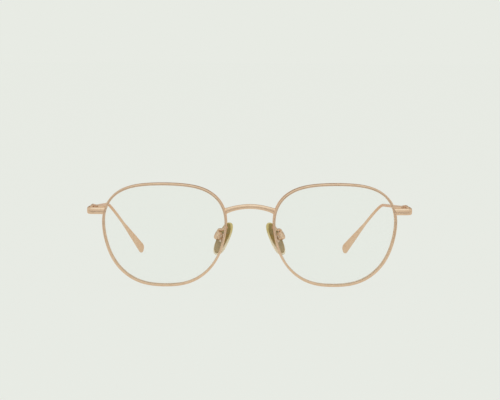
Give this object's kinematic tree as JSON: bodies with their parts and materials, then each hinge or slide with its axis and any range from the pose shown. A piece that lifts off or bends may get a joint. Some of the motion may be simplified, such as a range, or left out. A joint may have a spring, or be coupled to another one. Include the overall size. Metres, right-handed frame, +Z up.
{
  "type": "eyeglasses frame",
  "caption": "Thin metal eyeglasses frame with rounded panto lenses, an arched bridge, screw-on nose pads and folding skull temples with flat tips.",
  "frame": {"origin": "middle of the open frame's footprint, on the surface it stands on", "axes": "+X towards the wearer's left temple, +Y from the front back to the temple tips, +Z up"},
  "size_m": [0.136, 0.144, 0.0438],
  "materials": {
    "frame_metal": "satin rose gold plating",
    "screw_metal": "satin",
    "pad_plastic": "smooth, slightly see-through",
    "washer_plastic": "matt",
    "lens_plastic": "clear plastic demonstration lens"
  },
  "bodies": {
    "front": {"bridge": "frame_metal", "rim_left": "frame_metal", "lens_left": "lens_plastic", "end_piece_left": "frame_metal", "closing_block_upper_left": "frame_metal", "closing_block_lower_left": "frame_metal", "rim_screw_left": "screw_metal", "hinge_front_left": "frame_metal", "hinge_screw_left": "screw_metal", "hinge_washer_lower_left": "washer_plastic", "hinge_washer_upper_left": "washer_plastic", "pad_arm_left": "frame_metal", "pad_box_left": "frame_metal", "pad_screw_left": "screw_metal", "rim_right": "frame_metal", "lens_right": "lens_plastic", "end_piece_right": "frame_metal", "closing_block_upper_right": "frame_metal", "closing_block_lower_right": "frame_metal", "rim_screw_right": "screw_metal", "hinge_front_right": "frame_metal", "hinge_screw_right": "screw_metal", "hinge_washer_lower_right": "washer_plastic", "hinge_washer_upper_right": "washer_plastic", "pad_arm_right": "frame_metal", "pad_box_right": "frame_metal", "pad_screw_right": "screw_metal"},
    "temple_left_body": {"temple_left": "frame_metal", "hinge_temple_left": "frame_metal"},
    "pad_left_body": {"pad_core_left": "screw_metal", "nose_pad_left": "pad_plastic"},
    "temple_right_body": {"temple_right": "frame_metal", "hinge_temple_right": "frame_metal"},
    "pad_right_body": {"pad_core_right": "screw_metal", "nose_pad_right": "pad_plastic"}
  },
  "joints": [
    {"name": "temple_left_fold", "type": "hinge", "parent": "front", "child": "temple_left_body", "pos_m": [0.0642, -0.06223, 0.03207], "axis": [0, 0, 1], "range_deg": [0, 85]},
    {"name": "temple_right_fold", "type": "hinge", "parent": "front", "child": "temple_right_body", "pos_m": [-0.0642, -0.06223, 0.03207], "axis": [0, 0, -1], "range_deg": [0, 78]},
    {"name": "pad_left_rock", "type": "hinge", "parent": "front", "child": "pad_left_body", "pos_m": [0.01274, -0.06407, 0.02086], "axis": [0.6157, 0.788, 0], "range_deg": [-12, 12]},
    {"name": "pad_right_rock", "type": "hinge", "parent": "front", "child": "pad_right_body", "pos_m": [-0.01274, -0.06407, 0.02086], "axis": [-0.6157, 0.788, 0], "range_deg": [-12, 12]}
  ]
}
